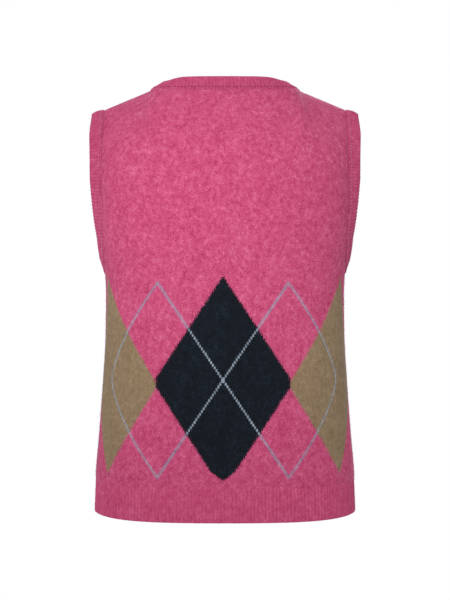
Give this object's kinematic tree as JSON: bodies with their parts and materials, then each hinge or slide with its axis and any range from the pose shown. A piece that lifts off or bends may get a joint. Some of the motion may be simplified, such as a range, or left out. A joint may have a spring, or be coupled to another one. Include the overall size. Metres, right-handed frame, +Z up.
{
  "type": "sleeveless argyle cardigan",
  "caption": "Sleeveless knitted V-neck cardigan, worn shape with nobody in it: argyle back and fronts, ribbed hem, neck, front and armhole bands, buttoned front.",
  "frame": {"origin": "midway between the two high shoulder points, where the neck meets the shoulder seams and the wearer carries the garment", "axes": "+Z up, -Y the way the wearer faces, +X to the wearer's left"},
  "size_m": [0.358, 0.2433, 0.5682],
  "materials": {
    "argyle_knit": "brushed wool stocking stitch, pink with navy and tan diamonds",
    "pink_rib": "brushed wool 1x1 rib, dark pink",
    "button": "satin"
  },
  "bodies": {
    "root": {"back_panel": "argyle_knit", "left_front": "argyle_knit", "right_front": "argyle_knit", "back_hem_rib": "pink_rib", "left_front_hem_rib": "pink_rib", "right_front_hem_rib": "pink_rib", "back_neck_band": "pink_rib", "left_front_band": "pink_rib", "right_front_band": "pink_rib", "left_armhole_band": "pink_rib", "right_armhole_band": "pink_rib", "button_1": "button", "button_2": "button", "button_3": "button", "button_4": "button", "button_5": "button"}
  },
  "joints": []
}
